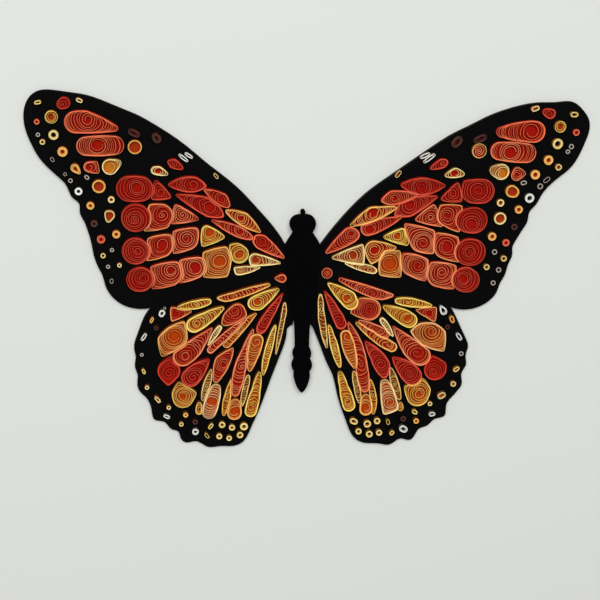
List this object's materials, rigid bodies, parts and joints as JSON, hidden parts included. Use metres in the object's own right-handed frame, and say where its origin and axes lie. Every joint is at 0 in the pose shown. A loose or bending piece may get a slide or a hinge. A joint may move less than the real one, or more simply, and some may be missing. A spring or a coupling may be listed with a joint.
{
  "type": "quilled paper butterfly",
  "caption": "Flat black card butterfly with a raised body, its wings filled with coiled paper strips in reds, oranges and yellows glued on edge.",
  "frame": {"origin": "on the flat back of the backing board, on the middle line between the wings", "axes": "+X along the wingspan to the butterfly's right as seen from the front, +Y towards the head, +Z out of the decorated face"},
  "size_m": [0.3329, 0.2183, 0.0062],
  "materials": {
    "black_card": "satin",
    "brown_paper": "matt",
    "deep_black_card": "matt",
    "grey_paper": "matt",
    "orange_paper": "matt",
    "pale_yellow_paper": "matt",
    "red_paper": "matt",
    "white_paper": "matt",
    "yellow_paper": "matt"
  },
  "bodies": {
    "root": {"backing_board": "black_card", "body": "deep_black_card", "left_brown_rings": "brown_paper", "left_forewing_leading_edge_coils": "red_paper", "left_forewing_row_1_coils": "red_paper", "left_forewing_row_2_coils": "red_paper", "left_forewing_row_3_coils": "red_paper", "left_forewing_row_4_coils": "red_paper", "left_forewing_tip_coils": "orange_paper", "left_grey_rings": "grey_paper", "left_hindwing_body_cell_coils": "orange_paper", "left_hindwing_front_cell_coils": "yellow_paper", "left_hindwing_front_edge_coils": "orange_paper", "left_hindwing_inner_edge_coils": "yellow_paper", "left_hindwing_lower_cell_coils": "orange_paper", "left_hindwing_middle_cell_coils": "red_paper", "left_hindwing_orange_fan_coils": "orange_paper", "left_hindwing_tail_cell_coils": "orange_paper", "left_hindwing_upper_cell_coils": "orange_paper", "left_orange_rings": "orange_paper", "left_pale_yellow_rings": "pale_yellow_paper", "left_red_rings": "red_paper", "left_white_rings": "white_paper", "left_yellow_rings": "yellow_paper", "right_brown_rings": "brown_paper", "right_forewing_leading_edge_coils": "red_paper", "right_forewing_row_1_coils": "red_paper", "right_forewing_row_2_coils": "red_paper", "right_forewing_row_3_coils": "red_paper", "right_forewing_row_4_coils": "red_paper", "right_forewing_tip_coils": "orange_paper", "right_grey_rings": "grey_paper", "right_hindwing_body_cell_coils": "orange_paper", "right_hindwing_front_cell_coils": "yellow_paper", "right_hindwing_front_edge_coils": "orange_paper", "right_hindwing_inner_edge_coils": "yellow_paper", "right_hindwing_lower_cell_coils": "orange_paper", "right_hindwing_middle_cell_coils": "red_paper", "right_hindwing_orange_fan_coils": "orange_paper", "right_hindwing_tail_cell_coils": "orange_paper", "right_hindwing_upper_cell_coils": "orange_paper", "right_orange_rings": "orange_paper", "right_pale_yellow_rings": "pale_yellow_paper", "right_red_rings": "red_paper", "right_white_rings": "white_paper", "right_yellow_rings": "yellow_paper"}
  },
  "joints": []
}
